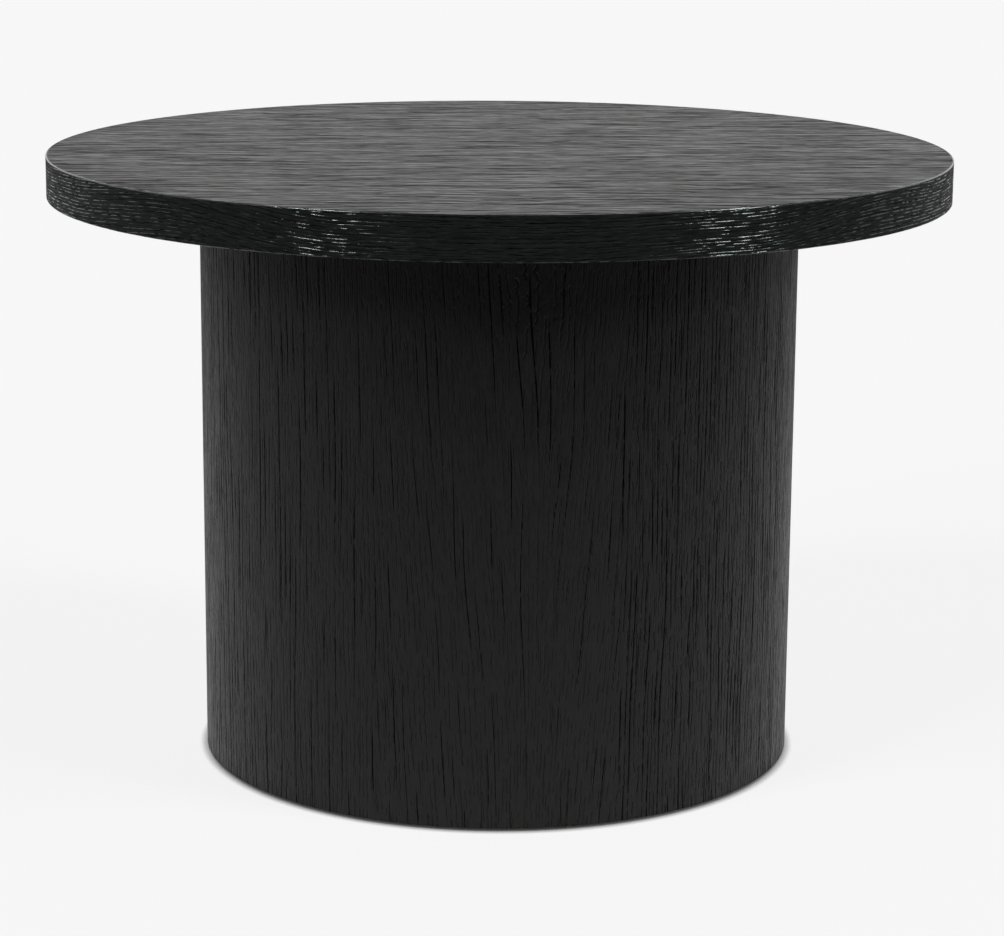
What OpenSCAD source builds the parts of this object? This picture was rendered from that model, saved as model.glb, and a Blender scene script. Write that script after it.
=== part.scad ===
// Round coffee table: a thick veneered disc on a hollow veneered drum.
// The origin lies on the floor under the middle of the drum, +Z is up and the front faces -Y.
// The top is a fibreboard disc. Its face veneer has its grain along X, in leaves laid side by side.
// The drum is two bent plies round a mounting disc, a middle rib, a base ring and upright posts.
// Bolts driven from inside the drum, through the mounting disc, hold the top down.

/* [Overall] */
// Height of the table, from the floor to the top face
table_h = 408; // [340:1:520]
// Diameter of the tabletop over its edge band
top_d = 600; // [480:5:900]
// Diameter of the drum over its veneer
drum_d = 400; // [330:5:480]
// Gap between the drum's lower edge and the floor
floor_gap = 2; // [1:0.5:4]

/* [Tabletop] */
// Thickness of the tabletop over both of its face veneers
top_t = 28; // [23:1:40]
// Thickness of the veneer on the board's faces and round the drum
veneer_t = 0.6; // [0.5:0.1:1.2]
// Thickness of the edge band round the board
edge_band_t = 1; // [0.9:0.1:2]
// Radius of the edge band's two rounded arrises
arris = 0.8; // [0.3:0.1:0.8]
// Gap where the two ends of the edge band meet, at the back
band_joint = 0.2; // [0.1:0.1:0.5]
// Number of veneer leaves across the top face
top_leaf_count = 5; // [3:1:8]

/* [Drum] */
// Thickness of each of the two bent plies of the drum's wall
ply_t = 5; // [3:0.5:7]
// Gap where the two ends of a bent ply meet
ply_joint = 0.5; // [0.2:0.1:1]
// Number of veneer leaves round the drum
drum_leaf_count = 8; // [4:1:10]
// Thickness of the mounting disc, the middle rib and the base ring
panel_t = 18; // [15:1:25]
// Width of the middle rib, from its outer edge to its opening
rib_w = 45; // [38:1:60]
// Diameter of the opening in the base ring, which a hand and a key reach through
access_d = 240; // [180:5:260]

/* [Posts] */
// Number of upright posts inside the drum
post_count = 4; // [3:1:4]
// Width of a post, along the drum's wall
post_w = 40; // [30:1:50]
// Depth of a post, from the drum's wall inwards
post_depth = 32; // [26:1:36]
// Clearance between a post and its notch in the middle rib
notch_clearance = 0.2; // [0.1:0.1:0.5]
// Diameter of the screws that hold the posts
post_screw_d = 5; // [4:0.5:6]
// Length of the screws that hold the posts
post_screw_l = 50; // [40:5:70]

/* [Top bolts] */
// Number of bolts between one post and the next
bolts_per_bay = 1; // [1:1:2]
// Diameter of the circle that the bolts and the dowels stand on
bolt_circle_d = 260; // [180:5:280]
// Diameter of a bolt's shank
bolt_d = 6; // [5:1:8]
// Length of a bolt's thread inside its insert
bolt_grip = 8.8; // [6:0.1:10]
// Clearance round a bolt in its hole in the mounting disc
bolt_clearance = 0.5; // [0.3:0.1:1]
// Wall of a threaded insert round its bolt
insert_wall = 2; // [1.5:0.1:3]
// Length of a threaded insert
insert_l = 13; // [10:1:16]
// Diameter of a locating dowel
dowel_d = 8; // [6:1:10]
// Length of a locating dowel inside the tabletop
dowel_grip = 12; // [8:1:14]

/* [Glides] */
// Number of glides between one post and the next
glides_per_bay = 2; // [1:1:2]
// Diameter of a glide
glide_d = 26; // [20:1:30]
// Thickness of a glide
glide_t = 5; // [4.5:0.5:8]
// Distance between a glide and the drum's wall
glide_inset = 4; // [2:1:8]
// Diameter of the screws that hold the glides
glide_screw_d = 3.5; // [3:0.5:4.5]
// Length of a glide's screw inside the base ring
glide_screw_grip = 12; // [8:1:13]

/* [Hidden] */
$fn = 144;
overlap = 1; // how far a cutting tool runs past the face that it opens

// Colours
black_oak = [0.11, 0.11, 0.105];
fibreboard = [0.62, 0.49, 0.35];
birch_ply = [0.80, 0.67, 0.48];
pine = [0.86, 0.72, 0.50];
beech = [0.82, 0.64, 0.46];
zinc = [0.72, 0.73, 0.75];
nylon = [0.09, 0.09, 0.09];

// Tabletop
top_r = top_d / 2;
board_r = top_r - edge_band_t;
under_z = table_h - top_t;
core_z = under_z + veneer_t;
core_t = top_t - 2 * veneer_t;
top_leaf_w = 2 * board_r / top_leaf_count;

// Drum, from its veneer inwards
outer_ply_r = drum_d / 2 - veneer_t;
inner_ply_r = outer_ply_r - ply_t;
wall_in_r = inner_ply_r - ply_t;
wall_h = under_z - floor_gap;
drum_leaf_angle = 360 / drum_leaf_count;
back_angle = 90;
front_angle = -90;

// Panels and posts inside the drum, from the floor up
ring_z = glide_t;
post_z = ring_z + panel_t;
disc_z = under_z - panel_t;
post_h = disc_z - post_z;
rib_z = post_z + (post_h - panel_t) / 2;
post_in_r = wall_in_r - post_depth;
post_step = 360 / post_count;

// Screws
head_sink = 0.3; // depth of a screw's head below the face that it is driven into
post_screw_r = post_screw_d / 2;
post_screw_head_r = post_screw_d;
post_screw_circle_r = wall_in_r - post_depth / 2;
glide_screw_r = glide_screw_d / 2;
glide_screw_head_r = glide_screw_d;

// Bolts, washers, inserts and dowels
bolt_r = bolt_d / 2;
bolt_circle_r = bolt_circle_d / 2;
bolt_hole_r = bolt_r + bolt_clearance;
bolt_head_r = bolt_d * 0.875;
bolt_head_h = bolt_d * 0.55;
bolt_key_d = bolt_d * 0.667;
bolt_key_depth = bolt_head_h * 0.6;
bolt_tip_bevel = 1;
washer_t = 1.6;
washer_r = bolt_d;
spring_washer_r = bolt_d * 0.8;
spring_washer_slot = 0.8;
washer_play = 0.2;
thread_play = 0.05;
bolt_seat_z = disc_z - 2 * washer_t;
bolt_l = 2 * washer_t + panel_t + bolt_grip;
insert_r = bolt_r + insert_wall;
insert_flange_r = insert_r + 1.5;
insert_flange_t = 1.5;
insert_relief = 2; // depth of an insert's hole past the insert's end
dowel_r = dowel_d / 2;
dowel_l = panel_t + dowel_grip;
dowel_relief = 1;
dowel_bevel = 1;

// Glides
glide_r = glide_d / 2;
glide_circle_r = wall_in_r - glide_inset - glide_r;
glide_bevel = 1.2;
glide_head_depth = 1; // depth of a glide's screw head above its foot
glide_screw_l = glide_t - glide_head_depth + glide_screw_grip;

// Angle that a gap takes up on a circle
function gap_angle(gap, r) = gap / r * 180 / PI;

// Angle of the n-th thing of a kind that has some number between each post and the next
function bay_angle(n, per_bay) =
    back_angle + post_step * (floor((n - 1) / per_bay) + ((n - 1) % per_bay + 1) / (per_bay + 1));

// Lower edge of the n-th veneer leaf of the top, with the outer leaves' tools past the board
function top_leaf_edge(n) =
    n == 0 ? -board_r - overlap :
    n == top_leaf_count ? board_r + overlap :
    n * top_leaf_w - board_r;

module at_posts() {
    for (i = [1:post_count]) at_post(i) children();
}

module at_post(i) {
    rotate(back_angle + (i - 1) * post_step) children();
}

module at_bolts() {
    for (i = [1:post_count * bolts_per_bay])
        rotate(bay_angle(i, bolts_per_bay)) translate([bolt_circle_r, 0, 0]) children();
}

// The first dowel is in line with the first post, the other with the post across from it
module at_dowels() {
    for (i = [1, 1 + floor(post_count / 2)]) at_post(i) translate([bolt_circle_r, 0, 0]) children();
}

module at_glides() {
    for (i = [1:post_count * glides_per_bay]) at_glide(i) children();
}

module at_glide(i) {
    rotate(bay_angle(i, glides_per_bay)) translate([glide_circle_r, 0, 0]) children();
}

// Where a post's upper screw points down from, and where its lower screw points up from
module at_upper_screws() {
    at_posts() translate([post_screw_circle_r, 0, under_z - head_sink]) mirror([0, 0, 1]) children();
}

module at_lower_screws() {
    at_posts() translate([post_screw_circle_r, 0, ring_z + head_sink]) children();
}

// A ring between two radii
module ring(r_out, r_in, h) {
    difference() {
        cylinder(r = r_out, h = h);
        translate([0, 0, -overlap]) cylinder(r = r_in, h = h + 2 * overlap);
    }
}

// A sheet bent into a ring, whose two ends stop short of each other at an angle round it
module bent_sheet(r_out, t, gap, at) {
    open_angle = gap_angle(gap, r_out);
    rotate(at + open_angle / 2)
        rotate_extrude(angle = 360 - open_angle)
            translate([r_out - t, floor_gap]) square([t, wall_h]);
}

// A countersunk screw with a cross in its head, whose face is at z = 0 and which points up
module countersunk_screw(r, head_r, length) {
    head_h = head_r - r;
    tip_h = 2 * r;
    tip_r = r / 5;
    cross_l = 2 * r;
    cross_w = 0.4 * r;
    difference() {
        rotate_extrude()
            polygon([
                [0, 0], [head_r, 0], [r, head_h], [r, length - tip_h], [tip_r, length], [0, length]
            ]);
        for (turn = [0, 90])
            rotate(turn) translate([-cross_l / 2, -cross_w / 2, -overlap]) cube([cross_l, cross_w, head_h + overlap]);
    }
}

// The hole for a countersunk screw, cut past the face that the screw is driven into
module screw_hole(r, head_r, depth) {
    head_h = head_r - r;
    rotate_extrude()
        polygon([
            [0, -overlap], [head_r, -overlap], [head_r, 0], [r, head_h], [r, depth], [0, depth]
        ]);
}

// The fibreboard disc, with blind holes underneath for the inserts and the dowels
module top_core() {
    color(fibreboard)
    difference() {
        translate([0, 0, core_z]) cylinder(r = board_r, h = core_t);
        at_bolts() translate([0, 0, under_z]) {
            cylinder(r = insert_r, h = insert_l + insert_relief);
            cylinder(r = insert_flange_r, h = insert_flange_t);
        }
        at_dowels() translate([0, 0, under_z]) cylinder(r = dowel_r, h = dowel_grip + dowel_relief);
    }
}

// One leaf of the face veneer, a strip of the disc with its grain along X
module top_leaf(i) {
    color(black_oak)
    intersection() {
        translate([0, 0, table_h - veneer_t]) cylinder(r = board_r, h = veneer_t);
        translate([-board_r - overlap, top_leaf_edge(i - 1), table_h - veneer_t - overlap])
            cube([2 * (board_r + overlap), top_leaf_edge(i) - top_leaf_edge(i - 1), veneer_t + 2 * overlap]);
    }
}

// The balancing veneer on the underside, cut out round the inserts and the dowels
module top_back_veneer() {
    color(black_oak)
    difference() {
        translate([0, 0, under_z]) cylinder(r = board_r, h = veneer_t);
        at_bolts() translate([0, 0, under_z - overlap]) cylinder(r = insert_flange_r, h = veneer_t + 2 * overlap);
        at_dowels() translate([0, 0, under_z - overlap]) cylinder(r = dowel_r, h = veneer_t + 2 * overlap);
    }
}

// Section of the edge band, flush with both faces of the board and round at its two arrises
module band_section() {
    intersection() {
        translate([board_r, under_z]) square([edge_band_t, top_t]);
        union() {
            translate([board_r, under_z]) square([edge_band_t - arris, top_t]);
            translate([board_r, under_z + arris]) square([edge_band_t, top_t - 2 * arris]);
            for (z = [under_z + arris, table_h - arris]) translate([top_r - arris, z]) circle(r = arris);
        }
    }
}

module top_edge_band() {
    open_angle = gap_angle(band_joint, top_r);
    color(black_oak)
    rotate(back_angle + open_angle / 2) rotate_extrude(angle = 360 - open_angle) band_section();
}

// A flanged tube with the bolt's thread inside
module top_insert() {
    difference() {
        union() {
            cylinder(r = insert_flange_r, h = insert_flange_t);
            cylinder(r = insert_r, h = insert_l);
        }
        translate([0, 0, -overlap]) cylinder(r = bolt_r + thread_play, h = insert_l + 2 * overlap);
    }
}

module top_inserts() {
    color(zinc) at_bolts() translate([0, 0, under_z]) top_insert();
}

module dowel() {
    rotate_extrude()
        polygon([
            [0, 0], [dowel_r - dowel_bevel, 0], [dowel_r, dowel_bevel],
            [dowel_r, dowel_l - dowel_bevel], [dowel_r - dowel_bevel, dowel_l], [0, dowel_l]
        ]);
}

module locating_dowels() {
    color(beech) at_dowels() translate([0, 0, disc_z]) dowel();
}

// A button-head bolt with a hexagon socket, pointing up, with its head's seat at z = 0
module top_bolt() {
    rim_h = bolt_head_h * 0.35;
    crown_r = bolt_head_r * 0.62;
    shoulder_r = bolt_head_r * 0.88;
    shoulder_h = bolt_head_h * 0.75;
    difference() {
        rotate_extrude()
            polygon([
                [0, -bolt_head_h], [crown_r, -bolt_head_h], [shoulder_r, -shoulder_h],
                [bolt_head_r, -rim_h], [bolt_head_r, 0], [bolt_r, 0],
                [bolt_r, bolt_l - bolt_tip_bevel], [bolt_r - bolt_tip_bevel, bolt_l], [0, bolt_l]
            ]);
        translate([0, 0, -bolt_head_h - overlap])
            cylinder(d = bolt_key_d / cos(30), h = bolt_key_depth + overlap, $fn = 6);
    }
}

module top_bolts() {
    color(zinc) at_bolts() translate([0, 0, bolt_seat_z]) top_bolt();
}

module flat_washers() {
    color(zinc) at_bolts() translate([0, 0, disc_z - washer_t]) ring(washer_r, bolt_r + washer_play, washer_t);
}

// Spring washers pressed flat, each with the slot that makes it one turn of a spring
module spring_washers() {
    color(zinc)
    at_bolts() translate([0, 0, bolt_seat_z])
    difference() {
        ring(spring_washer_r, bolt_r + washer_play, washer_t);
        translate([0, -spring_washer_slot / 2, -overlap])
            cube([spring_washer_r + overlap, spring_washer_slot, washer_t + 2 * overlap]);
    }
}

// The disc at the drum's upper end, level with the wall and screwed down onto the posts
module mounting_disc() {
    color(fibreboard)
    difference() {
        translate([0, 0, disc_z]) cylinder(r = wall_in_r, h = panel_t);
        at_bolts() translate([0, 0, disc_z - overlap]) cylinder(r = bolt_hole_r, h = panel_t + 2 * overlap);
        at_dowels() translate([0, 0, disc_z - overlap]) cylinder(r = dowel_r, h = panel_t + 2 * overlap);
        at_upper_screws() screw_hole(post_screw_r, post_screw_head_r, panel_t + overlap);
    }
}

// The ring halfway up that keeps the wall round, notched round the posts
module mid_rib() {
    color(fibreboard)
    difference() {
        translate([0, 0, rib_z]) ring(wall_in_r, wall_in_r - rib_w, panel_t);
        at_posts()
            translate([post_in_r - notch_clearance, -post_w / 2 - notch_clearance, rib_z - overlap])
                cube([post_depth + 2 * overlap, post_w + 2 * notch_clearance, panel_t + 2 * overlap]);
    }
}

// The ring at the drum's lower end, screwed up into the posts, which carries the glides
module base_ring() {
    color(black_oak)
    difference() {
        translate([0, 0, ring_z]) ring(wall_in_r, access_d / 2, panel_t);
        at_lower_screws() screw_hole(post_screw_r, post_screw_head_r, panel_t + overlap);
        at_glides() translate([0, 0, glide_head_depth]) cylinder(r = glide_screw_r, h = glide_screw_l + overlap);
    }
}

// An upright whose outer face is curved to lie against the wall
module post(i) {
    color(pine)
    difference() {
        intersection() {
            translate([0, 0, post_z]) cylinder(r = wall_in_r, h = post_h);
            at_post(i) translate([post_in_r, -post_w / 2, post_z - overlap])
                cube([post_depth + overlap, post_w, post_h + 2 * overlap]);
        }
        at_upper_screws() cylinder(r = post_screw_r, h = post_screw_l + overlap);
        at_lower_screws() cylinder(r = post_screw_r, h = post_screw_l + overlap);
    }
}

module post_screws_upper() {
    color(zinc) at_upper_screws() countersunk_screw(post_screw_r, post_screw_head_r, post_screw_l);
}

module post_screws_lower() {
    color(zinc) at_lower_screws() countersunk_screw(post_screw_r, post_screw_head_r, post_screw_l);
}

// The ends of the two bent plies meet one post apart, each with a post behind its joint
module drum_inner_ply() {
    color(birch_ply) bent_sheet(inner_ply_r, ply_t, ply_joint, back_angle);
}

module drum_outer_ply() {
    color(birch_ply) bent_sheet(outer_ply_r, ply_t, ply_joint, back_angle + post_step);
}

// One leaf of the drum's veneer, with its grain upright. The middle of the first faces the front.
module drum_leaf(i) {
    color(black_oak)
    rotate(front_angle + (i - 1.5) * drum_leaf_angle)
        rotate_extrude(angle = drum_leaf_angle)
            translate([outer_ply_r, floor_gap]) square([veneer_t, wall_h]);
}

// A nylon disc with a bevelled foot and a sunk hole for its screw
module glide(i) {
    color(nylon)
    at_glide(i)
    difference() {
        rotate_extrude()
            polygon([
                [0, 0], [glide_r - glide_bevel, 0], [glide_r, glide_bevel], [glide_r, glide_t], [0, glide_t]
            ]);
        translate([0, 0, glide_head_depth]) screw_hole(glide_screw_r, glide_screw_head_r, glide_t);
    }
}

module glide_screws() {
    color(zinc)
    at_glides() translate([0, 0, glide_head_depth])
        countersunk_screw(glide_screw_r, glide_screw_head_r, glide_screw_l);
}

top_core();
for (i = [1:top_leaf_count])
    top_leaf(i);
top_back_veneer();
top_edge_band();
top_inserts();
locating_dowels();
top_bolts();
flat_washers();
spring_washers();
mounting_disc();
mid_rib();
base_ring();
for (i = [1:post_count])
    post(i);
post_screws_upper();
post_screws_lower();
drum_inner_ply();
drum_outer_ply();
for (i = [1:drum_leaf_count])
    drum_leaf(i);
for (i = [1:post_count * glides_per_bay])
    glide(i);
glide_screws();
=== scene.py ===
import math
from collections import namedtuple

import bpy
import numpy as np
from mathutils import Matrix, Vector

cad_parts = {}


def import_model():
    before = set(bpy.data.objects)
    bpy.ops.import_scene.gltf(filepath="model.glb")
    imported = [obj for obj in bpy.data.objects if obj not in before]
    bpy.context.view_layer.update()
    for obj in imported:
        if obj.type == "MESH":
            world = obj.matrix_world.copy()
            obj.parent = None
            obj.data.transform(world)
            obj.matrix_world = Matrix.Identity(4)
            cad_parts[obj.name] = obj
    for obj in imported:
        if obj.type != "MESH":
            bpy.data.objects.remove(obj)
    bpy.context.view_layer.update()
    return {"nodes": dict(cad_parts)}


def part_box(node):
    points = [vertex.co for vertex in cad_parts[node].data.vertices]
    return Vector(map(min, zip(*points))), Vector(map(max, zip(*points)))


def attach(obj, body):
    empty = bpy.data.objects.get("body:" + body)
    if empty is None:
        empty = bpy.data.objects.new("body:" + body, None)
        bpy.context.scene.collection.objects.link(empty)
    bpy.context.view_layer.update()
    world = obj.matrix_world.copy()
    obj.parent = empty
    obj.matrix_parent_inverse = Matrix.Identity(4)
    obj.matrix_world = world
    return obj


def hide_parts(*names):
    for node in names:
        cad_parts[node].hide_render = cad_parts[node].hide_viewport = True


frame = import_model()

# Lengths are in metres, and MM turns millimetres into metres
MM = 0.001

# Camera, found by fitting the table's outlines in the photograph, with its angles in radians
PICTURE_W = 1004
FOCAL_PIXELS = 3084.8
SENSOR_W_MM = 36.0
CAMERA_PLACE = Vector((-0.0129, -2.0516, 0.6643))
CAMERA_YAW = 0.0077
CAMERA_PITCH = 0.2271
CAMERA_ROLL = 0.0068
CAMERA_SEES_TO = 100

# Table, measured on the frame
BAND_LO, BAND_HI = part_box("top_edge_band")
TOP_R = min(BAND_HI.x, -BAND_LO.x, -BAND_LO.y)
TOP_Z = BAND_HI.z
BOARD_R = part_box("top_core")[1].x
TOP_LEAVES = sorted(n for n in frame["nodes"] if n.startswith("top_leaf_"))
DRUM_LEAVES = sorted(n for n in frame["nodes"] if n.startswith("drum_leaf_"))


def radii(node):
    """Least and greatest distance of a node's vertices from the table's axis."""
    reach = [math.hypot(v.co.x, v.co.y) for v in frame["nodes"][node].data.vertices]
    return min(reach), max(reach)


DRUM_IN_R, DRUM_R = radii("drum_leaf_1")

# Edge band: the radius of its corners and the steps round each, and the gap of its joint
ARRIS = 0.8 * MM
ARRIS_STEPS = 6
BAND_GAP = 0.2 * MM

# Growth rings: their width, and how far from the log's middle the fibres fan out most
RING_W = 9 * MM
CORE_W = 40 * MM

# How a surface is shaped: the steps of its mesh across and along the grain, how long its grooves run without
# a break, their width, and the depths of the grooves and of the broad swell
Relief = namedtuple("Relief", "across along run width groove swell")
TOP_RELIEF = Relief(0.50 * MM, 6.0 * MM, 45 * MM, 1.8 * MM, 0.32 * MM, 0.12 * MM)
DRUM_RELIEF = Relief(0.40 * MM, 6.0 * MM, 38 * MM, 0.7 * MM, 0.24 * MM, 0.06 * MM)
BAND_RELIEF = Relief(0.22 * MM, 3.1 * MM, 5 * MM, 0.5 * MM, 0.34 * MM, 0.08 * MM)

# How a leaf was cut from its log: where the log's middle lies across the leaf, how far under it and how fast
# that changes along the leaf, how much the fibres fan out and wander, how far apart the grooves are, how
# unbroken they are from 0 to 1, how many times as wide and deep they are as in the relief, how open the pores
# are from 0 to 1, and the seed of the leaf's own irregularities, whose last two digits number the leaf
Cut = namedtuple("Cut", "pith depth taper fan wander pitch full coarse open seed")
TOP_CUTS = [
    Cut(0.11, 0.05, 0.03, 0.002, 1.6 * MM, 7.0 * MM, 0.4, 1.0, 0.9, 101),
    Cut(-0.09, 0.06, -0.02, 0.002, 1.6 * MM, 7.0 * MM, 0.4, 1.0, 0.9, 102),
    Cut(0.03, 0.08, 0.03, 0.001, 1.6 * MM, 7.0 * MM, 0.4, 1.0, 0.9, 103),
    Cut(-0.10, 0.05, 0.02, 0.002, 1.6 * MM, 7.0 * MM, 0.4, 1.0, 0.9, 104),
    Cut(0.12, 0.06, -0.03, 0.002, 1.6 * MM, 7.0 * MM, 0.4, 1.0, 0.9, 105),
]
DRUM_CUTS = [
    Cut(0.022, 0.085, -0.10, 0.0055, 1.2 * MM, 6.0 * MM, 0.3, 1.0, 0.55, 201),
    Cut(-0.13, 0.05, -0.02, 0.001, 1.2 * MM, 3.7 * MM, 0.35, 1.2, 0.7, 202),
    Cut(0.01, 0.08, 0.04, -0.005, 1.6 * MM, 4.5 * MM, 0.3, 1.2, 0.6, 203),
    Cut(0.14, 0.05, 0.02, 0.001, 1.6 * MM, 4.2 * MM, 0.4, 1.5, 0.6, 204),
    Cut(-0.02, 0.09, -0.04, 0.005, 1.6 * MM, 5.0 * MM, 0.3, 1.1, 0.5, 205),
    Cut(-0.15, 0.06, 0.02, 0.001, 1.6 * MM, 4.2 * MM, 0.4, 1.4, 0.6, 206),
    Cut(-0.01, 0.08, -0.04, 0.005, 1.6 * MM, 4.5 * MM, 0.3, 1.2, 0.6, 207),
    Cut(0.15, 0.05, -0.02, 0.001, 1.2 * MM, 4.6 * MM, 0.25, 1.2, 0.5, 208),
]
BAND_CUT = Cut(-0.06, 0.05, 0.01, 0.0, 7 * MM, 2.0 * MM, 0.4, 1.0, 0.8, 487)

# Each leaf reads the materials' noises at its own place along the grain, LEAF_START of a LEAF_STEP past
# a whole number of steps. A step is a whole number of cells of 9, 16, 22 and 36 mm.
LEAF_STEP = 1.584
LEAF_START = 0.25

# Glints of the edge band, on the sides of its grooves that face up: the slope from which they are full, the
# slope along the band at which half of them is gone, and their polish. The rounded corners are polished too.
GLINT_SLOPE = 0.35
GLINT_LEAN = 0.08
GLINT_POLISH = 0.65
UPPER_CORNER_POLISH = 1
LOWER_CORNER_POLISH = 0.5

# Irregularities of the grain. A cell is how far along and across the grain a noise runs before it changes.
# Across, it is counted in rings for the rings' shift, and in pitches for the grooves' shift.
Cell = namedtuple("Cell", "along across")
WANDER_CELL = Cell(120 * MM, 90 * MM)
SHAKE = 0.4 * MM
SHAKE_CELL = Cell(45 * MM, 20 * MM)
RING_SHIFT = 2
RING_CELL = Cell(400 * MM, 2)
PITCH_SHIFT = 0.5
PITCH_CELL = Cell(100 * MM, 4)
SWELL_CELL = Cell(28 * MM, 7 * MM)

# Where the rings' and the pitches' noises start, and how far apart two neighbouring grooves read theirs, so
# that none looks like another
RING_PART = 3.5
PITCH_PART = 7.5
GROOVE_STEP = 1.37

# How much the early wood and a groove's own noise add to its strength
EARLY_SHARE = 0.3
OWN_SHARE = 0.9


# Grain

def eased(part):
    """Values from 0 to 1 with a level start and end."""
    return part * part * (3 - 2 * part)


class Noise:
    """Smooth noise from -1 to 1 on a plane, from a table of seeded random numbers."""

    SIDE = 64

    def __init__(self, seed):
        self.table = np.random.default_rng(seed).uniform(-1, 1, (self.SIDE, self.SIDE))

    def at(self, x, y):
        x, y = np.broadcast_arrays(x, y)
        column = np.floor(x).astype(int)
        row = np.floor(y).astype(int)
        fx = eased(x - column)
        fy = eased(y - row)

        def corner(i, j):
            return self.table[(column + i) % self.SIDE, (row + j) % self.SIDE]

        low = corner(0, 0) * (1 - fx) + corner(1, 0) * fx
        high = corner(0, 1) * (1 - fx) + corner(1, 1) * fx
        return low * (1 - fy) + high * fy


class Grain:
    """The grain at points of a leaf: fibre and along are its coordinates, groove is how deep the grooves are
    from 0 to 1, open is how open the pores are, depth is how far the surface lies under the leaf's face, and
    polish is how bright its finish is from 0 to 1."""

    def __init__(self, cut, relief, across, along, middle):
        noise = Noise(cut.seed)
        wander = cut.wander * noise.at(along / WANDER_CELL.along, across / WANDER_CELL.across)
        wander = wander + SHAKE * noise.at(along / SHAKE_CELL.along, across / SHAKE_CELL.across)
        off = across - cut.pith
        fanned = cut.fan * off / (off**2 + CORE_W**2) * (along - middle)
        self.fibre = across + wander - fanned
        self.along = along + 0 * across + (cut.seed % 100 + LEAF_START) * LEAF_STEP
        ring = np.hypot(self.fibre - cut.pith, cut.depth + cut.taper * (along - middle)) / RING_W
        shift = RING_SHIFT * noise.at(ring / RING_CELL.across, RING_PART + along / RING_CELL.along)
        early = 0.5 + 0.5 * np.cos(2 * math.pi * ring + shift)
        pitches = self.fibre / (PITCH_CELL.across * cut.pitch)
        shift = PITCH_SHIFT * noise.at(pitches, PITCH_PART + along / PITCH_CELL.along)
        count = self.fibre / cut.pitch + shift
        number = np.floor(count)
        strength = cut.full + EARLY_SHARE * early
        strength = strength + OWN_SHARE * noise.at(number * GROOVE_STEP, along / relief.run)
        off_line = (count - number - 0.5) * cut.pitch / (cut.coarse * relief.width / 2)
        self.groove = np.clip(strength, 0, 1) * np.exp(-(off_line**2))
        swell = 0.5 + 0.5 * noise.at(self.fibre / SWELL_CELL.across, along / SWELL_CELL.along)
        self.depth = cut.coarse * relief.groove * self.groove + relief.swell * swell
        self.polish = 0 * self.depth
        self.open = cut.open + 0 * self.depth

    def fields(self, pick):
        """What a piece's nodes read, with each field laid out per point by pick."""
        return [pick(field) for field in (self.fibre, self.along, self.groove, self.open, self.polish)]


# Meshes

SHARP_ANGLE = math.radians(40)

# Bake maps: the range that a face fills from side to side, and then the ranges that a piece's faces fill one
# above the other. The edge band is laid out in several strips, whose ranges are shares of a strip.
MAP_LO = 0.005
MAP_HI = 0.995
TOP_FACE_MAP = (0.1, MAP_HI)
TOP_RIM_MAP = (0.07, 0.085)
TOP_UNDER_MAP = (MAP_LO, 0.06)
DRUM_FACE_MAP = (0.12, MAP_HI)
DRUM_BACK_MAP = (MAP_LO, 0.05)
DRUM_LOWER_END_MAP = (0.06, 0.07)
DRUM_UPPER_END_MAP = (0.075, 0.085)
DRUM_SIDE_MAP = (0.09, 0.095)
DRUM_SIDE_STEP = 0.012
BAND_STRIPS = 8
BAND_FACE_START = 0.02
BAND_FACE_SHARE = 0.86
BAND_BACK_MAP = (0.9, 0.98)
BAND_CAP_MAPS = (0.001, 0.004), (0.002, 0.1)
BAND_CAP_STEP = 0.9955


def link(thing):
    """Puts a new object into the scene."""
    bpy.context.scene.collection.objects.link(thing)
    return thing


class Skin:
    """Collects a mesh's points and faces, with the place of each face's corners on the piece's bake map."""

    def __init__(self):
        self.points = []
        self.faces = []
        self.places = []
        self.count = 0

    def add_points(self, points):
        self.points.append(points.reshape(-1, 3))
        first = self.count
        self.count += points.size // 3
        return first + np.arange(points.size // 3).reshape(points.shape[:-1])

    def add_face(self, corners, places):
        self.faces.append([int(i) for i in corners])
        self.places.append(np.asarray(places, float))

    def add_grid(self, index, u, v):
        """Quads between the rows and columns of index, whose bake places are the grids u and v."""
        def quads(grid):
            return np.stack([grid[:-1, :-1], grid[:-1, 1:], grid[1:, 1:], grid[1:, :-1]], 2)

        place = np.stack(np.broadcast_arrays(u, v), -1)
        self.faces += quads(index).reshape(-1, 4).tolist()
        self.places.append(quads(place).reshape(-1, 2))

    def piece(self, name, node, slot, grain):
        """Makes the piece that stands for a CAD node. grain is what Grain.fields gives, for every point."""
        mesh = bpy.data.meshes.new(name)
        mesh.from_pydata(np.concatenate(self.points).tolist(), [], self.faces)
        mesh.update()
        corners = np.zeros(len(mesh.loops), np.int32)
        mesh.loops.foreach_get("vertex_index", corners)
        fibre, along, groove, opened, polish = grain
        grain_map = mesh.uv_layers.new(name="Grain")
        grain_map.uv.foreach_set("vector", np.stack([fibre, along], 1)[corners].astype(np.float32).ravel())
        bake_map = mesh.uv_layers.new(name="OFBake")
        bake_map.uv.foreach_set("vector", np.concatenate(self.places).astype(np.float32).ravel())
        for label, values in (("groove", groove), ("open", opened), ("polish", polish)):
            attribute = mesh.attributes.new(label, "FLOAT", "POINT")
            attribute.data.foreach_set("value", values.astype(np.float32))
        mesh.shade_smooth()
        mesh.set_sharp_from_angle(angle=SHARP_ANGLE)
        piece = link(bpy.data.objects.new(name, mesh))
        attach(piece, "root")
        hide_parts(node)


def share(values, low, high):
    """Values brought evenly into the range from low to high."""
    least, most = values.min(), values.max()
    return low + (high - low) * (values - least) / (most - least)


def rim_of(index):
    """A grid's outermost entries, in order round it."""
    return np.concatenate([index[0, :], index[1:, -1], index[-1, -2::-1], index[-2:0:-1, 0]])


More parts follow.
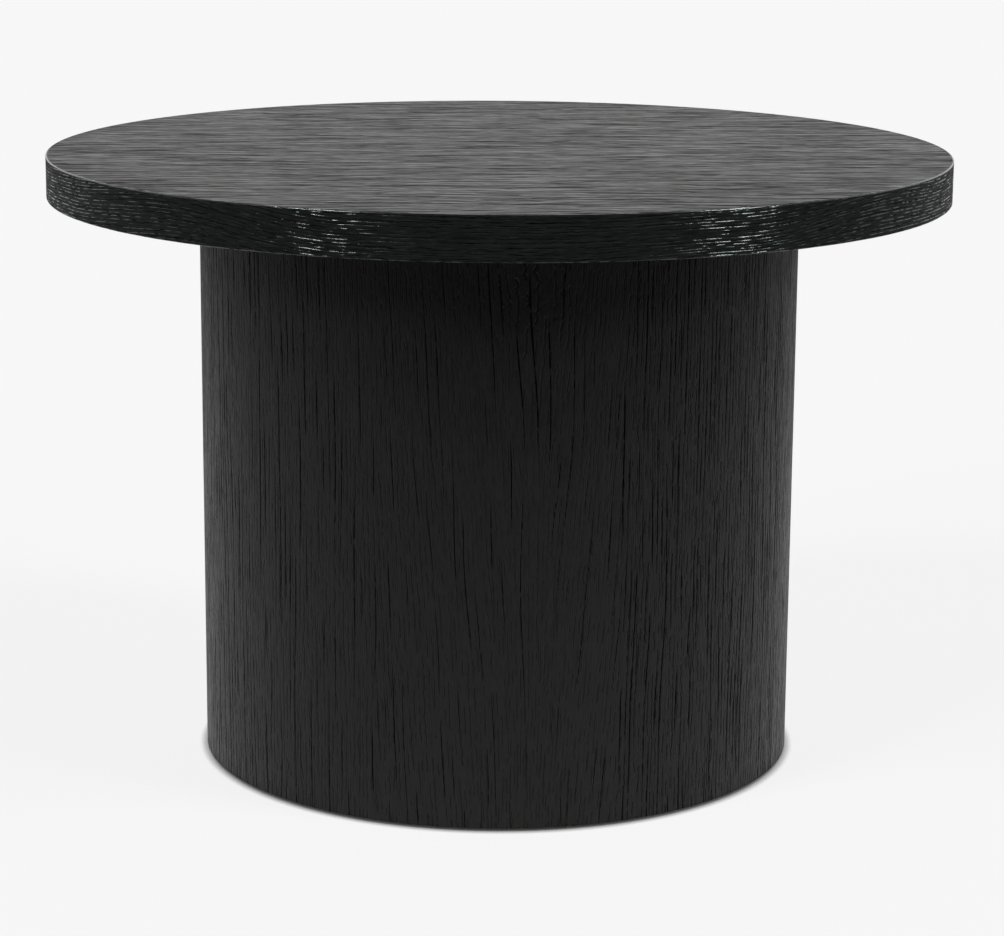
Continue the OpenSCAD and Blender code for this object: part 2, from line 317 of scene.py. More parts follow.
def top_leaf(node, cut):
    """A strip of the top's face veneer, with its grain along X, cut to the board's circle."""
    lo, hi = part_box(node)
    low = max(lo.y, -BOARD_R)
    high = min(hi.y, BOARD_R)
    # Rows lie evenly across the leaf. More rows keep the circle's points close at the front and the back,
    # where it runs along the grain.
    even = np.linspace(low, high, round((high - low) / TOP_RELIEF.across) + 1)
    turn = TOP_RELIEF.along / BOARD_R
    round_ends = BOARD_R * np.sin(np.arange(-math.pi / 2, math.pi / 2, turn) + turn / 2)
    near = TOP_RELIEF.across / 10
    rows = np.union1d(even[(even > -BOARD_R + near) & (even < BOARD_R - near)],
                      round_ends[(round_ends > low + near) & (round_ends < high - near)])
    y = rows[:, None]
    columns = round(2 * BOARD_R / TOP_RELIEF.along) + 1
    x = np.sqrt(BOARD_R**2 - y**2) * np.linspace(-1, 1, columns)
    y = y + 0 * x
    grain = Grain(cut, TOP_RELIEF, y - (lo.y + hi.y) / 2, x, 0)
    skin = Skin()
    face = skin.add_points(np.stack([x, y, TOP_Z - grain.depth], -1))
    skin.add_grid(face, share(x, MAP_LO, MAP_HI), share(y, *TOP_FACE_MAP))
    rim = rim_of(face)
    rim_x = x.ravel()[rim]
    rim_y = y.ravel()[rim]
    under = skin.add_points(np.stack([rim_x, rim_y, np.full(len(rim), lo.z)], -1))
    u = np.linspace(MAP_LO, MAP_HI, len(rim) + 1)
    v_low, v_high = TOP_RIM_MAP
    for i in range(len(rim)):
        j = (i + 1) % len(rim)
        places = [[u[i + 1], v_high], [u[i], v_high], [u[i], v_low], [u[i + 1], v_low]]
        skin.add_face([rim[j], rim[i], under[i], under[j]], places)
    places = np.stack([share(rim_x, MAP_LO, MAP_HI), share(rim_y, *TOP_UNDER_MAP)], -1)
    skin.add_face(under[::-1], places[::-1])

    def by_point(field):
        return np.concatenate([field.ravel(), field.ravel()[rim]])

    skin.piece("veneer_" + node, node, "black_oak_top", grain.fields(by_point))


def drum_leaf(node, middle, width, cut):
    """A strip of the drum's veneer, with its grain upright, bent round the wall."""
    lo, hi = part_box(node)
    rows = round(width * DRUM_R / DRUM_RELIEF.across) + 1
    columns = round((hi.z - lo.z) / DRUM_RELIEF.along) + 1
    angle = np.linspace(middle - width / 2, middle + width / 2, rows)[:, None] + np.zeros((1, columns))
    z = np.linspace(lo.z, hi.z, columns)[None, :] + np.zeros((rows, 1))
    grain = Grain(cut, DRUM_RELIEF, (angle - middle) * DRUM_R, z, (lo.z + hi.z) / 2)
    reach = DRUM_R - grain.depth
    skin = Skin()
    outer = skin.add_points(np.stack([reach * np.cos(angle), reach * np.sin(angle), z], -1))
    skin.add_grid(outer[::-1], share(z, MAP_LO, MAP_HI), share(angle, *DRUM_FACE_MAP)[::-1])
    ends = [0, columns - 1]
    inside = np.stack([DRUM_IN_R * np.cos(angle), DRUM_IN_R * np.sin(angle), z], -1)[:, ends]
    inner = skin.add_points(inside)
    skin.add_grid(inner, np.array([[MAP_LO, MAP_HI]]), share(angle[:, :2], *DRUM_BACK_MAP))
    u = share(angle[:, :1], MAP_LO, MAP_HI)
    skin.add_grid(np.stack([outer[:, 0], inner[:, 0]], 1), u, np.array([DRUM_LOWER_END_MAP]))
    skin.add_grid(np.stack([inner[:, 1], outer[:, -1]], 1), u, np.array([DRUM_UPPER_END_MAP]))
    side = share(z[0], MAP_LO, MAP_HI)
    v_low, v_high = DRUM_SIDE_MAP
    strip = np.concatenate([np.stack([side, 0 * side + v_high], 1), [[MAP_HI, v_low], [MAP_LO, v_low]]])
    skin.add_face([*outer[0], inner[0][1], inner[0][0]], strip)
    strip[:, 1] += DRUM_SIDE_STEP
    skin.add_face([*outer[-1], inner[-1][1], inner[-1][0]][::-1], strip[::-1])

    def by_point(field):
        return np.concatenate([field.ravel(), field[:, ends].ravel()])

    skin.piece("veneer_" + node, node, "black_oak_drum", grain.fields(by_point))


def edge_band():
    """The strip round the top's edge, with its grain along it, rounded corners and its joint at the back."""
    low = BAND_LO.z
    high = BAND_HI.z
    turn = np.linspace(0, math.pi / 2, ARRIS_STEPS + 1)
    upper = [(TOP_R - ARRIS + ARRIS * math.sin(t), high - ARRIS + ARRIS * math.cos(t)) for t in turn]
    steps = round((high - low - 2 * ARRIS) / BAND_RELIEF.across)
    straight = [(TOP_R, z) for z in np.linspace(high - ARRIS, low + ARRIS, steps + 1)[1:-1]]
    lower = [(r, high + low - z) for r, z in reversed(upper)]
    profile = np.array([(BOARD_R, high), *upper, *straight, *lower, (BOARD_R, low)])
    columns = round(2 * math.pi * TOP_R / BAND_RELIEF.along)
    columns -= columns % BAND_STRIPS
    half_gap = BAND_GAP / TOP_R / 2
    angle = np.linspace(math.pi / 2 + half_gap, math.pi * 5 / 2 - half_gap, columns + 1)[None, :]
    reach, z = profile[:, :1], profile[:, 1:]
    length = np.concatenate([[0], np.cumsum(np.hypot(*np.diff(profile, axis=0).T))])[:, None]
    grain = Grain(BAND_CUT, BAND_RELIEF, length + 0 * angle, angle * TOP_R, 0)
    middle = (high + low) / 2
    # outward is 0 where the band faces up or down and 1 where it faces outward. The grooves fade out towards
    # the board, so that the band meets it without a step.
    outward = np.clip((reach - (TOP_R - ARRIS)) / ARRIS, 0, 1)
    depth = grain.depth * np.clip((reach - BOARD_R) / (TOP_R - ARRIS - BOARD_R), 0, 1)
    faces_up = np.clip(-np.gradient(depth, axis=0) / np.gradient(length, axis=0) / GLINT_SLOPE, 0, 1)
    steepness = np.abs(np.gradient(depth, axis=1)) / BAND_RELIEF.along
    runs_level = np.clip(1.5 - steepness / GLINT_LEAN, 0, 1)
    glints = GLINT_POLISH * faces_up * runs_level * (outward > 0.9)
    corners = (outward < 0.99) * np.where(z > middle, UPPER_CORNER_POLISH, LOWER_CORNER_POLISH)
    grain.polish = np.maximum(glints, corners + 0 * angle)
    reach = reach - depth * outward
    z = z - depth * (1 - outward) * np.sign(z - middle)
    skin = Skin()
    face = skin.add_points(np.stack([reach * np.cos(angle), reach * np.sin(angle), z + 0 * angle], -1))
    cells = columns // BAND_STRIPS
    for i in range(BAND_STRIPS):
        part = slice(i * cells, (i + 1) * cells + 1)
        u = np.linspace(MAP_LO, MAP_HI, cells + 1)[None, :]
        v = (i + BAND_FACE_START + BAND_FACE_SHARE * length / length[-1]) / BAND_STRIPS
        skin.add_grid(face[:, part][::-1], u, v[::-1])
        back = np.stack([face[0, part], face[-1, part]])
        skin.add_grid(back, u, np.array(BAND_BACK_MAP)[:, None] / BAND_STRIPS + i / BAND_STRIPS)
    u_range, v_range = BAND_CAP_MAPS
    cap = np.stack([share(reach[:, 0], *u_range), share(z[:, 0], *v_range)], -1)
    skin.add_face(face[:, 0], cap)
    skin.add_face(face[::-1, -1], cap[::-1] + [BAND_CAP_STEP, 0])
    skin.piece("edge_band", "top_edge_band", "black_oak_edge", grain.fields(np.ravel))


for node, cut in zip(TOP_LEAVES, TOP_CUTS):
    top_leaf(node, cut)
leaf_width = 2 * math.pi / len(DRUM_LEAVES)
for i, (node, cut) in enumerate(zip(DRUM_LEAVES, DRUM_CUTS)):
    drum_leaf(node, -math.pi / 2 + i * leaf_width, leaf_width, cut)
edge_band()


# Materials

class Nodes:
    """Builds a material's nodes with short calls. An input is a number, a colour or another node's output."""

    def __init__(self, name):
        self.material = bpy.data.materials.new(name)
        self.material.use_nodes = True
        self.tree = self.material.node_tree
        self.shader = self.tree.nodes["Principled BSDF"]

    def give(self, socket, value):
        if isinstance(value, bpy.types.NodeSocket):
            self.tree.links.new(value, socket)
        else:
            socket.default_value = value

    def node(self, kind, inputs=(), **settings):
        made = self.tree.nodes.new(kind)
        for name, value in settings.items():
            setattr(made, name, value)
        for name, value in dict(inputs).items():
            self.give(made.inputs[name], value)
        return made

    def math(self, operation, a, b=0.0):
        return self.node("ShaderNodeMath", {0: a, 1: b}, operation=operation).outputs[0]

    def range(self, value, low, high, to_low=0.0, to_high=1.0):
        """value brought smoothly from the range low to high into the range to_low to to_high."""
        places = {"Value": value, "From Min": low, "From Max": high, "To Min": to_low, "To Max": to_high}
        return self.node("ShaderNodeMapRange", places, interpolation_type="SMOOTHSTEP").outputs[0]

    def mix(self, part, a, b):
        """The colour a where part is 0, and b where part is 1."""
        made = self.node("ShaderNodeMix", data_type="RGBA")
        self.give(made.inputs[0], part)
        self.give(made.inputs[6], a)
        self.give(made.inputs[7], b)
        return made.outputs[2]

    def vector(self, x, y):
        return self.node("ShaderNodeCombineXYZ", {"X": x, "Y": y}).outputs[0]

    def noise(self, vector, detail=2.0, dimensions="2D"):
        places = {"Vector": vector, "Scale": 1.0, "Detail": detail}
        return self.node("ShaderNodeTexNoise", places, noise_dimensions=dimensions).outputs[0]

    def field(self, name):
        """What the mesh carries under this name, point by point."""
        return self.node("ShaderNodeAttribute", attribute_name=name).outputs["Fac"]

    def set(self, **values):
        for name, value in values.items():
            self.give(self.shader.inputs[name.replace("_", " ")], value)


def grey(value, red=1.0, blue=1.0):
    """A near grey, whose red and blue are these shares of its green."""
    return (value * red, value, value * blue, 1.0)


# Heights of a finish's bumps: of its fibres, of its middling and broad waves, and of its pores
Bumps = namedtuple("Bumps", "fine middling broad pore")

# Rows of pores: how far apart they are, how wide they are and how long they run without a break
Rows = namedtuple("Rows", "pitch width length")

# Noises of the oak: the wear of its polish, its fibres, and its middling and broad waves
WORN_CELL = Cell(7 * MM, 1.2 * MM)
FINE_CELL = Cell(9 * MM, 0.8 * MM)
MIDDLING_CELL = Cell(22 * MM, 1.6 * MM)
BROAD_CELL = Cell(36 * MM, 5 * MM)

# Polish: where its noise starts to leave it and leaves all of it, from where on it isn't worn, how much of it
# makes the oak as smooth as it gets, and the roughness and specular level of polished oak
WORN_FROM_TO = (0.38, 0.52)
NOT_WORN_FROM_TO = (0.8, 0.95)
POLISH_SMOOTHS_TO = 0.6
POLISHED_ROUGHNESS = 0.19
POLISHED_SHINE = 1.0

# Lines of pores. They sway by SWAY pitches, in cells SWAY_RUN long and SWAY_PITCHES wide. LINE_STEP and
# LINE_START keep the lines' places in the noises apart. RAGGED is how ragged a line is, in pitches, and
# RAGGED_PARTS in how many parts of its run. A line comes in as its noise, with OPEN_ADDS for open pores, goes
# through LINE_FROM_TO. The edges are how far from its middle, in its widths, a line or its hollow starts and
# is full.
SWAY = 1.5
SWAY_RUN = 90 * MM
SWAY_PITCHES = 8
LINE_STEP = 7.31
LINE_START = 2.17
RAGGED = 0.6
RAGGED_PARTS = 3
OPEN_ADDS = 0.12
LINE_FROM_TO = (0.52, 0.60)
LINE_EDGES = (0.8, 0.3)
HOLLOW_EDGES = (1.6, 0.2)
FAINT_LINE_SHARE = 0.5
FAINT_HOLLOW_SHARE = 0.45

# Breaks in the dark middles of the grooves: their width, their length as a share of the lines' run, the noise
# at which they are full and at which they end, and what they leave of a middle
BREAK_WIDTH = 1.5 * MM
BREAK_RUN_SHARE = 0.45
BREAK_FROM_TO = (0.30, 0.48)
BREAK_LEAVES = 0.3

# Tone of the oak: the shares of its fibres and broad waves, the range that they use, what it makes of the
# colour and the roughness, and what pores have of the colour and the shine and add to the roughness. The
# pores' dark colour is partly the stained wood's own and partly painted shade in their hollows.
FINE_SHARE = 0.7
BROAD_SHARE = 0.3
TONE_FROM_TO = (0.35, 0.65)
DARK_COLOUR = 0.75
LIGHT_COLOUR = 1.25
ROUGHNESS_STEP = 0.05
PORE_COLOUR_AND_SHADE = 0.1
PORE_SHINE = 0.05
PORE_ROUGHNESS = 0.3


def black_oak(name, roughness, shine, colour, tint, core, bumps, rows, faint_rows):
    """Open-pored oak, stained black under a thin lacquer. shine is its specular level where it isn't
    polished, tint holds the shares of red and blue, and core is how deep in a groove its dark middle starts
    and is full. The pores' dark is partly the wood's own and partly painted shade in their hollows."""
    wood = Nodes(name)
    grain_map = wood.node("ShaderNodeUVMap", uv_map="Grain").outputs[0]
    places = wood.node("ShaderNodeSeparateXYZ", {0: grain_map})
    fibre = places.outputs[0]
    along = places.outputs[1]
    groove = wood.field("groove")
    opened = wood.field("open")
    polish = wood.field("polish")

    def stretched(cell):
        return wood.vector(wood.math("DIVIDE", fibre, cell.across), wood.math("DIVIDE", along, cell.along))

    worn = wood.range(wood.noise(stretched(WORN_CELL)), *WORN_FROM_TO)
    worn_polish = wood.math("MULTIPLY", polish, worn)
    polish = wood.math("MAXIMUM", worn_polish, wood.range(polish, *NOT_WORN_FROM_TO))

    def lines(pitch, width, length):
        """Thin lines along the fibres, ragged and broken, one in each pitch: the lines, and their hollows.
        More of them are there where the pores are open."""
        sway = wood.math("MULTIPLY", wood.noise(stretched(Cell(SWAY_RUN, SWAY_PITCHES * pitch))), SWAY)
        count = wood.math("ADD", wood.math("DIVIDE", fibre, pitch), sway)
        own = wood.math("MULTIPLY", wood.math("FLOOR", count), LINE_STEP)
        start = wood.math("MULTIPLY", own, LINE_START)

        def own_noise(run):
            return wood.noise(wood.vector(own, wood.math("ADD", wood.math("DIVIDE", along, run), start)))

        strength = own_noise(length)
        ragged = own_noise(length / RAGGED_PARTS)
        place = wood.math("ADD", wood.math("FRACT", count), wood.math("MULTIPLY", ragged, RAGGED))
        off = wood.math("ABSOLUTE", wood.math("SUBTRACT", place, 0.5 + RAGGED / 2))
        strength = wood.math("ADD", strength, wood.math("MULTIPLY", opened, OPEN_ADDS))
        present = wood.range(strength, *LINE_FROM_TO)
        line = wood.range(off, *[edge * width / pitch for edge in LINE_EDGES])
        hollow = wood.range(off, *[edge * width / pitch for edge in HOLLOW_EDGES])
        return wood.math("MULTIPLY", line, present), wood.math("MULTIPLY", hollow, present)

    breaks = wood.noise(stretched(Cell(BREAK_RUN_SHARE * rows.length, BREAK_WIDTH)))
    # The dark middles of the grooves: partly the pores' own colour, partly painted shade in the hollows.
    main_line = wood.range(groove, *core)
    main_line = wood.math("MULTIPLY", main_line, wood.range(breaks, *BREAK_FROM_TO, BREAK_LEAVES, 1.0))
    line, hollow = lines(*rows)
    faint_line, faint_hollow = lines(*faint_rows)
    small = wood.math("MAXIMUM", line, wood.math("MULTIPLY", faint_line, FAINT_LINE_SHARE))
    pore = wood.math("MAXIMUM", main_line, wood.math("MULTIPLY", small, opened))
    hollow = wood.math("ADD", hollow, wood.math("MULTIPLY", faint_hollow, FAINT_HOLLOW_SHARE))
    hollow = wood.math("MULTIPLY", hollow, opened)
    fine = wood.noise(stretched(FINE_CELL), 3.0)
    middling = wood.noise(stretched(MIDDLING_CELL))
    broad = wood.noise(stretched(BROAD_CELL))
    tone = wood.math("MULTIPLY", fine, FINE_SHARE)
    tone = wood.math("ADD", tone, wood.math("MULTIPLY", broad, BROAD_SHARE))
    dark = grey(colour * DARK_COLOUR, *tint)
    light = grey(colour * LIGHT_COLOUR, *tint)
    surface = wood.mix(wood.range(tone, *TONE_FROM_TO), dark, light)
    rough = wood.range(tone, *TONE_FROM_TO, roughness - ROUGHNESS_STEP, roughness + ROUGHNESS_STEP)
    rough = wood.math("ADD", rough, wood.math("MULTIPLY", pore, PORE_ROUGHNESS))
    height = wood.math("MULTIPLY", fine, bumps.fine)
    for part, amount in ((middling, bumps.middling), (broad, bumps.broad), (hollow, -bumps.pore)):
        height = wood.math("ADD", height, wood.math("MULTIPLY", part, amount))
    relief = wood.node("ShaderNodeBump", {"Strength": 1.0, "Distance": 1.0, "Height": height})
    unpolished = wood.range(pore, 0.0, 1.0, shine, shine * PORE_SHINE)
    # Pores darken the colour: partly the stained pores' own dark, partly painted shade in their hollows.
    wood.set(
        Base_Color=wood.mix(pore, surface, grey(colour * PORE_COLOUR_AND_SHADE)),
        Roughness=wood.range(polish, 0.0, POLISH_SMOOTHS_TO, rough, POLISHED_ROUGHNESS),
        Normal=relief.outputs[0],
        Specular_Tint=grey(1.0, *tint),
        Specular_IOR_Level=wood.range(polish, 0.0, 1.0, unpolished, POLISHED_SHINE),
    )
    return wood


# Other materials

X_AXIS = 0
Z_AXIS = 2
PLY_SHEET = 1.25 * MM


def drawn_out(nodes, axis, width, length, detail=2.0):
    """Noise in solid wood, whose cells have this width and run this long along the frame's axis."""
    sizes = [1 / (length if axis == i else width) for i in range(3)]
    place = nodes.node("ShaderNodeTexCoord").outputs["Object"]
    scaled = nodes.node("ShaderNodeVectorMath", {0: place, 1: sizes}, operation="MULTIPLY")
    return nodes.noise(scaled.outputs[0], detail, "3D")


def plain_wood(name, axis, ring, dark, light, roughness):
    """Sawn or sliced wood with its grain along the frame's axis."""
    wood = Nodes(name)
    rings = drawn_out(wood, axis, ring, 40 * ring, 1.0)
    fibres = drawn_out(wood, axis, 0.35 * MM, 11 * MM, 3.0)
    pores = wood.range(drawn_out(wood, axis, 0.6 * MM, 7 * MM), 0.60, 0.68)
    bands = wood.math("PINGPONG", wood.math("MULTIPLY", rings, 7.0), 1.0)
    tone = wood.math("ADD", wood.math("MULTIPLY", bands, 0.5), wood.math("MULTIPLY", fibres, 0.5))
    surface = wood.mix(wood.range(tone, 0.2, 0.8), dark, light)
    height = wood.math("SUBTRACT", wood.math("MULTIPLY", fibres, 0.5), pores)
    wood.set(
        Base_Color=wood.mix(wood.math("MULTIPLY", pores, 0.6), surface, [0.5 * c for c in dark[:3]] + [1.0]),
        Roughness=wood.range(fibres, 0.3, 0.7, roughness - 0.08, roughness + 0.08),
        Normal=wood.node("ShaderNodeBump", {"Distance": 0.1 * MM, "Height": height}).outputs[0],
        Specular_IOR_Level=0.3,
    )
    return wood


def ply(name, glue, dark, light):
    """Bent plywood, whose sheets show as rings where its edges are cut."""
    wood = plain_wood(name, Z_AXIS, 5 * MM, dark, light, 0.6)
    place = wood.node("ShaderNodeSeparateXYZ", {0: wood.node("ShaderNodeTexCoord").outputs["Object"]})
    across = wood.vector(place.outputs[0], place.outputs[1])
    reach = wood.node("ShaderNodeVectorMath", {0: across}, operation="LENGTH").outputs["Value"]
    sheet = wood.math("PINGPONG", wood.math("DIVIDE", reach, PLY_SHEET), 1.0)
    facing = wood.node("ShaderNodeNewGeometry").outputs["Normal"]
    level = wood.node("ShaderNodeSeparateXYZ", {0: facing}).outputs[2]
    edge = wood.range(wood.math("ABSOLUTE", level), 0.7, 0.9)
    line = wood.math("MULTIPLY", wood.range(sheet, 0.12, 0.0), edge)
    tone = wood.math("MULTIPLY", wood.range(sheet, 0.4, 0.6, 0.0, 0.45), edge)
    surface = wood.shader.inputs["Base Color"].links[0].from_socket
    shaded = wood.mix(tone, surface, dark)
    wood.set(Base_Color=wood.mix(line, shaded, glue))
    return wood


def board(name, dark, light, roughness):
    """Board of pressed fibres, a matt paint on it, or moulded plastic: fine lumps and broad patches."""
    made = Nodes(name)
    grit = drawn_out(made, X_AXIS, 0.5 * MM, 0.9 * MM, 3.0)
    patches = drawn_out(made, X_AXIS, 14 * MM, 20 * MM, 3.0)
    tone = made.math("ADD", made.math("MULTIPLY", grit, 0.6), made.math("MULTIPLY", patches, 0.4))
    made.set(
        Base_Color=made.mix(made.range(tone, 0.35, 0.65), dark, light),
        Roughness=made.range(grit, 0.3, 0.7, roughness - 0.06, roughness + 0.06),
        Normal=made.node("ShaderNodeBump", {"Distance": 0.08 * MM, "Height": grit}).outputs[0],
        Specular_IOR_Level=0.25,
    )
    return made


def steel(name):
    """Zinc-plated steel with a faint bloom and fine turning marks."""
    made = Nodes(name)
    bloom = drawn_out(made, Z_AXIS, 2.2 * MM, 3.0 * MM, 3.0)
    marks = drawn_out(made, Z_AXIS, 1.5 * MM, 0.12 * MM)
    dark = (0.42, 0.44, 0.48, 1)
    light = (0.66, 0.67, 0.68, 1)
    made.set(
        Base_Color=made.mix(made.range(bloom, 0.3, 0.7), dark, light),
        Metallic=1.0,
        Roughness=made.range(bloom, 0.3, 0.7, 0.24, 0.42),
        Normal=made.node("ShaderNodeBump", {"Distance": 0.02 * MM, "Height": marks}).outputs[0],
    )
    return made


def wear(thing, look):
    """Gives a piece or a CAD node, by its object's name, its only material."""
    materials = bpy.data.objects[thing].data.materials
    materials.clear()
    materials.append(look.material)


FINE_ROWS = Rows(3.1 * MM, 0.45 * MM, 16 * MM), Rows(1.3 * MM, 0.3 * MM, 9 * MM)
LONG_ROWS = Rows(6.0 * MM, 1.3 * MM, 50 * MM), Rows(2.4 * MM, 0.6 * MM, 26 * MM)
oak_top = black_oak("black_oak_top", 0.34, 0.340, 0.013, (0.99, 0.96), (0.4, 0.8),
                    Bumps(0.05 * MM, 0.10 * MM, 1.9 * MM, 0.12 * MM), *LONG_ROWS)
oak_drum = black_oak("black_oak_drum", 0.42, 0.200, 0.0095, (1.0, 0.995), (0.3, 0.6),
                     Bumps(0.15 * MM, 0.25 * MM, 0.05 * MM, 0.55 * MM), *FINE_ROWS)
oak_band = black_oak("black_oak_band", 0.34, 0.055, 0.015, (0.88, 0.95), (0.25, 0.6),
                     Bumps(0.03 * MM, 0.06 * MM, 0.05 * MM, 0.08 * MM), *FINE_ROWS)
for node in TOP_LEAVES:
    wear("veneer_" + node, oak_top)
for node in DRUM_LEAVES:
    wear("veneer_" + node, oak_drum)
wear("edge_band", oak_band)

raw_board = board("fibreboard", (0.30, 0.20, 0.12, 1), (0.45, 0.33, 0.21, 1), 0.85)
painted_board = board("painted_board", grey(0.008), grey(0.016), 0.65)
bent_ply = ply("bent_ply", (0.12, 0.07, 0.04, 1), (0.50, 0.35, 0.20, 1), (0.68, 0.52, 0.34, 1))
pine = plain_wood("pine", Z_AXIS, 9 * MM, (0.48, 0.27, 0.11, 1), (0.74, 0.52, 0.28, 1), 0.6)
beech = plain_wood("beech", Z_AXIS, 3 * MM, (0.46, 0.27, 0.15, 1), (0.62, 0.42, 0.26, 1), 0.55)
oak_under = plain_wood("black_oak_under", X_AXIS, 7 * MM, grey(0.006), grey(0.018), 0.6)
zinc = steel("zinc_steel")
nylon = board("nylon", grey(0.009), grey(0.014), 0.45)

# What the nodes that keep their CAD shape wear, by how their names start. The first start that fits counts.
WORN_BY_CAD = {
    "top_back_veneer": oak_under,
    "top_core": raw_board,
    "mounting_disc": raw_board,
    "mid_rib": raw_board,
    "base_ring": painted_board,
    "drum_inner_ply": bent_ply,
    "drum_outer_ply": bent_ply,
    "post_screws": zinc,
    "post": pine,
    "locating_dowels": beech,
    "top_inserts": zinc,
    "top_bolts": zinc,
    "flat_washers": zinc,
    "spring_washers": zinc,
    "glide_screws": zinc,
    "glide": nylon,
}
for node in sorted(set(frame["nodes"]) - {*TOP_LEAVES, *DRUM_LEAVES, "top_edge_band"}):
    start = next(start for start in WORN_BY_CAD if node.startswith(start))
    wear(frame["nodes"][node].name, WORN_BY_CAD[start])


# Stage

# Floor: its colour, how far it goes each way, how much of its shadows is seen, and how far the painted
# contact shadow at the drum's foot reaches
FLOOR_COLOUR = 0.72
FLOOR_REACH = 20.0
SHADOW_SHARE = 0.17
CONTACT_REACH = 6 * MM
CONTACT_SAMPLES = 4

# The floor's light fades in front of the table from LIT_REACH to DARK_REACH, where DARK_SHARE of it is left.
# A metre beside or behind the table counts as FADE_BESIDE or FADE_BEHIND of a metre in front of it.
LIT_REACH = 0.3
DARK_REACH = 1.35
DARK_SHARE = 0.2
FADE_BESIDE = 0.6
FADE_BEHIND = 0.35

# Surroundings: their brightness in front, behind and overhead, and between which parts of a direction towards
# the back and upwards it changes
WORLD_FRONT = 0.04
WORLD_BACK = 1.0
WORLD_TOP = 0.15
FRONT_TO_BACK = (-0.75, 0.55)
LEVEL_TO_TOP = (0.25, 0.75)

# Lamps, with their angles in degrees: how wide they look, how bright they are, and in which direction and how
# high each stands. The direction is 0 in front of the table and 90 to its right. A white surface that faces
# a lamp of level 1 reads as white.
LAMP_WIDTH = 13
LAMP_LEVEL = 0.28
LAMPS = {
    "left_lower_lamp": (-45, 26),
    "left_upper_lamp": (-56, 42),
    "right_lower_lamp": (61, 26),
    "right_upper_lamp": (72, 42),
}


def camera():
    """The camera that sees the table as the photograph does."""
    data = bpy.data.cameras.new("camera")
    data.sensor_width = SENSOR_W_MM
    data.lens = FOCAL_PIXELS / PICTURE_W * SENSOR_W_MM
    data.clip_end = CAMERA_SEES_TO
    thing = link(bpy.data.objects.new("camera", data))
    ahead = Vector((
        math.sin(CAMERA_YAW) * math.cos(CAMERA_PITCH),
        math.cos(CAMERA_YAW) * math.cos(CAMERA_PITCH),
        -math.sin(CAMERA_PITCH),
    ))
    level = Vector((math.cos(CAMERA_YAW), -math.sin(CAMERA_YAW), 0))
    upright = level.cross(ahead)
    right = math.cos(CAMERA_ROLL) * level + math.sin(CAMERA_ROLL) * upright
    up = math.cos(CAMERA_ROLL) * upright - math.sin(CAMERA_ROLL) * level
    turned = Matrix((right, up, -ahead)).transposed().to_4x4()
    thing.matrix_world = Matrix.Translation(CAMERA_PLACE) @ turned
    bpy.context.scene.camera = thing


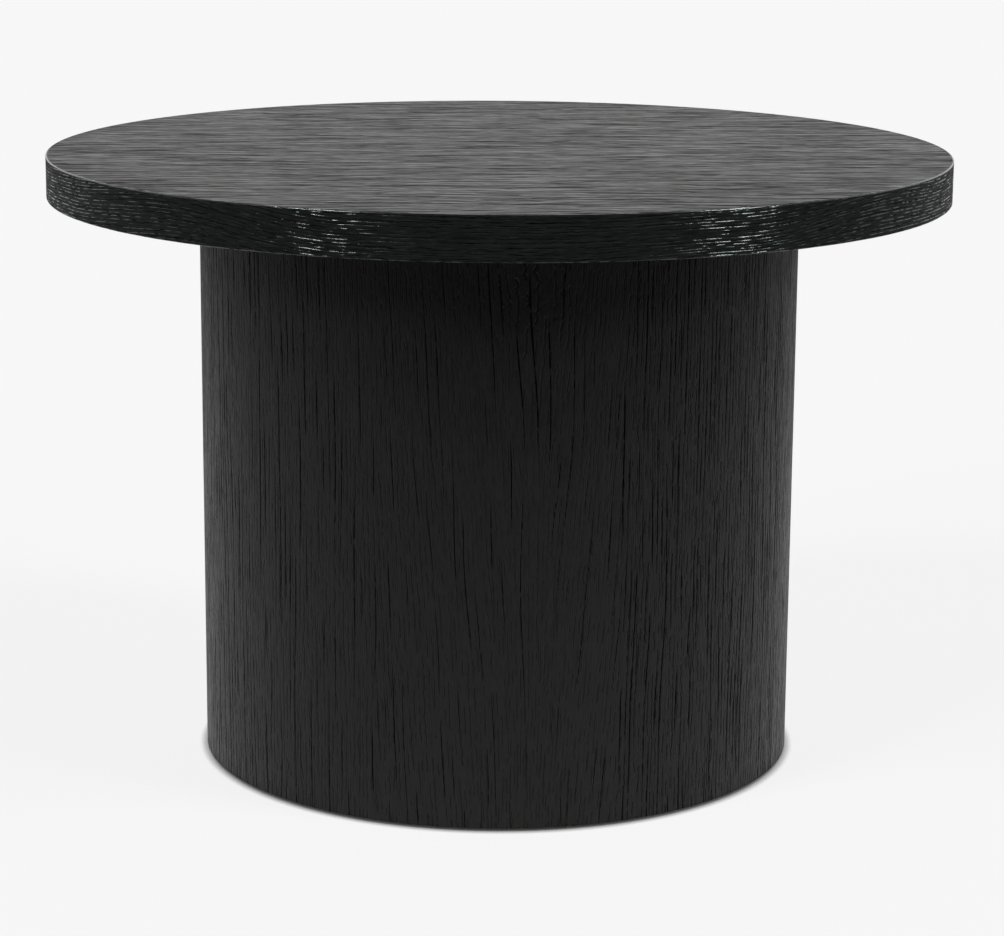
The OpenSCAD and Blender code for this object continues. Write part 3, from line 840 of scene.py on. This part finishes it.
def floor():
    """A pale floor that the camera sees at one nearly even brightness. The light and the reflections that
    come from it fade away from the table, most of all in front of it, as if only the floor near it was
    lit."""
    mesh = bpy.data.meshes.new("floor")
    corners = [(x * FLOOR_REACH, y * FLOOR_REACH, 0) for x, y in ((-1, -1), (1, -1), (1, 1), (-1, 1))]
    mesh.from_pydata(corners, [], [(0, 1, 2, 3)])
    thing = link(bpy.data.objects.new("floor", mesh))
    pale = Nodes("pale_floor")
    path = pale.node("ShaderNodeLightPath").outputs
    place = pale.node("ShaderNodeNewGeometry").outputs["Position"]
    along = pale.node("ShaderNodeSeparateXYZ", {0: place}).outputs
    ahead = pale.math("MULTIPLY", along["Y"], -1.0)
    ahead = pale.math("MAXIMUM", ahead, pale.math("MULTIPLY", along["Y"], FADE_BEHIND))
    from_table = pale.vector(pale.math("MULTIPLY", along["X"], FADE_BESIDE), ahead)
    reach = pale.node("ShaderNodeVectorMath", {0: from_table}, operation="LENGTH").outputs["Value"]
    strength = pale.range(reach, LIT_REACH, DARK_REACH, 1.0, DARK_SHARE)
    strength = pale.math("MAXIMUM", strength, path["Is Camera Ray"])
    pale.set(
        Base_Color=pale.mix(strength, grey(0.0), grey(FLOOR_COLOUR)),
        Roughness=0.9,
        Specular_IOR_Level=0.0,
    )
    even = pale.node("ShaderNodeEmission", {"Color": grey(1.0), "Strength": strength})
    seen = pale.math("MAXIMUM", path["Is Camera Ray"], path["Is Glossy Ray"])
    seen = pale.math("MAXIMUM", seen, path["Is Transmission Ray"])
    # Painted contact shadow: the floor's even glow is darkened where ambient occlusion finds the drum's foot
    # close by.
    contact = {"Distance": CONTACT_REACH}
    open_air = pale.node("ShaderNodeAmbientOcclusion", contact, samples=CONTACT_SAMPLES).outputs["AO"]
    open_air = pale.math("MULTIPLY", open_air, open_air)
    share_even = pale.math("MULTIPLY", seen, 1 - SHADOW_SHARE)
    dimmed = pale.node("ShaderNodeEmission", {"Color": grey(0.0)})
    even = pale.node("ShaderNodeMixShader", {0: open_air, 1: dimmed.outputs[0], 2: even.outputs[0]})
    both = pale.node("ShaderNodeMixShader", {0: share_even, 1: pale.shader.outputs[0], 2: even.outputs[0]})
    pale.give(pale.tree.nodes["Material Output"].inputs["Surface"], both.outputs[0])
    mesh.materials.append(pale.material)


def world():
    """White surroundings, less bright in front of the table and above it than behind it."""
    thing = bpy.data.worlds.new("studio")
    bpy.context.scene.world = thing
    thing.use_nodes = True
    tree = thing.node_tree
    direction = tree.nodes.new("ShaderNodeTexCoord").outputs["Generated"]
    parts = tree.nodes.new("ShaderNodeSeparateXYZ")
    tree.links.new(direction, parts.inputs[0])

    def ramp(output, low, high, to_low, to_high):
        made = tree.nodes.new("ShaderNodeMapRange")
        made.interpolation_type = "SMOOTHSTEP"
        for name, value in {"From Min": low, "From Max": high, "To Min": to_low, "To Max": to_high}.items():
            made.inputs[name].default_value = value
        tree.links.new(output, made.inputs["Value"])
        return made.outputs[0]

    strength = tree.nodes.new("ShaderNodeMath")
    strength.operation = "MULTIPLY"
    tree.links.new(ramp(parts.outputs[1], *FRONT_TO_BACK, WORLD_FRONT, WORLD_BACK), strength.inputs[0])
    tree.links.new(ramp(parts.outputs[2], *LEVEL_TO_TOP, 1.0, WORLD_TOP), strength.inputs[1])
    tree.links.new(strength.outputs[0], tree.nodes["Background"].inputs["Strength"])
    tree.nodes["Background"].inputs["Color"].default_value = grey(1.0)


def lamp(name, azimuth, elevation):
    """A far, soft lamp."""
    data = bpy.data.lights.new(name, "SUN")
    data.angle = math.radians(LAMP_WIDTH)
    data.energy = math.pi * LAMP_LEVEL
    thing = link(bpy.data.objects.new(name, data))
    a, e = math.radians(azimuth), math.radians(elevation)
    away = Vector((math.sin(a) * math.cos(e), -math.cos(a) * math.cos(e), math.sin(e)))
    thing.rotation_mode = "QUATERNION"
    thing.rotation_quaternion = away.to_track_quat("Z", "Y")


camera()
floor()
world()
for name, (azimuth, elevation) in LAMPS.items():
    lamp(name, azimuth, elevation)
bpy.context.scene.view_settings.view_transform = "Standard"
